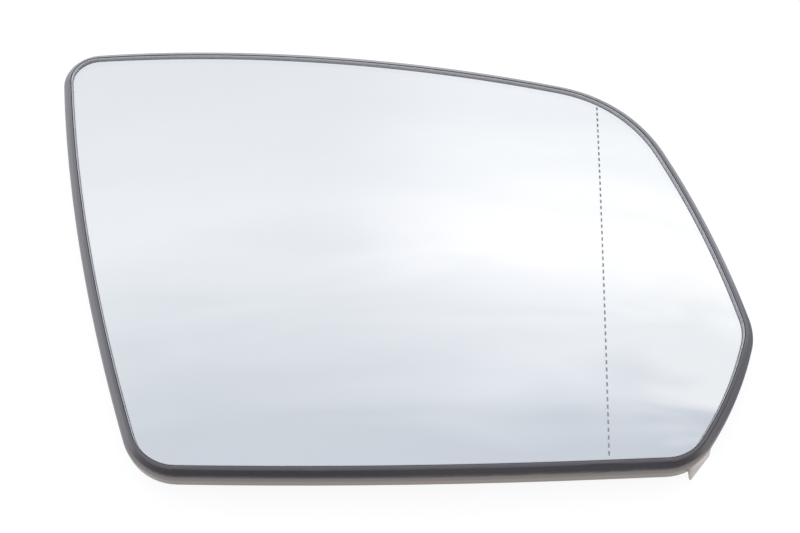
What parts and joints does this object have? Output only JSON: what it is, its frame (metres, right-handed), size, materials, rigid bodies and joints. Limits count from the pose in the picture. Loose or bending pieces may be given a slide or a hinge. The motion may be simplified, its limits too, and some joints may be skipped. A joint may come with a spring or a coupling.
{
  "type": "car door mirror glass",
  "caption": "Convex right-hand door mirror glass with an aspheric outer zone, bonded to a dark plastic carrier that snaps onto the mirror adjuster.",
  "frame": {"origin": "on the socket axis, at the end of the collar, which is the face that the part rests on", "axes": "+X outboard along the door mirror, +Y up as fitted, +Z out of the glass at the socket axis"},
  "size_m": [0.2384, 0.1699, 0.0169],
  "materials": {
    "mirror": "polished glass, silvered on the back, ground edge",
    "carrier": "fine-grained satin moulding",
    "mat": "printed heating film with adhesive",
    "terminal": "stamped, lightly tarnished"
  },
  "bodies": {
    "root": {"mirror_glass": "mirror", "carrier_plate": "carrier", "heater_mat": "mat", "heater_terminal_upper": "terminal", "heater_terminal_lower": "terminal"}
  },
  "joints": []
}
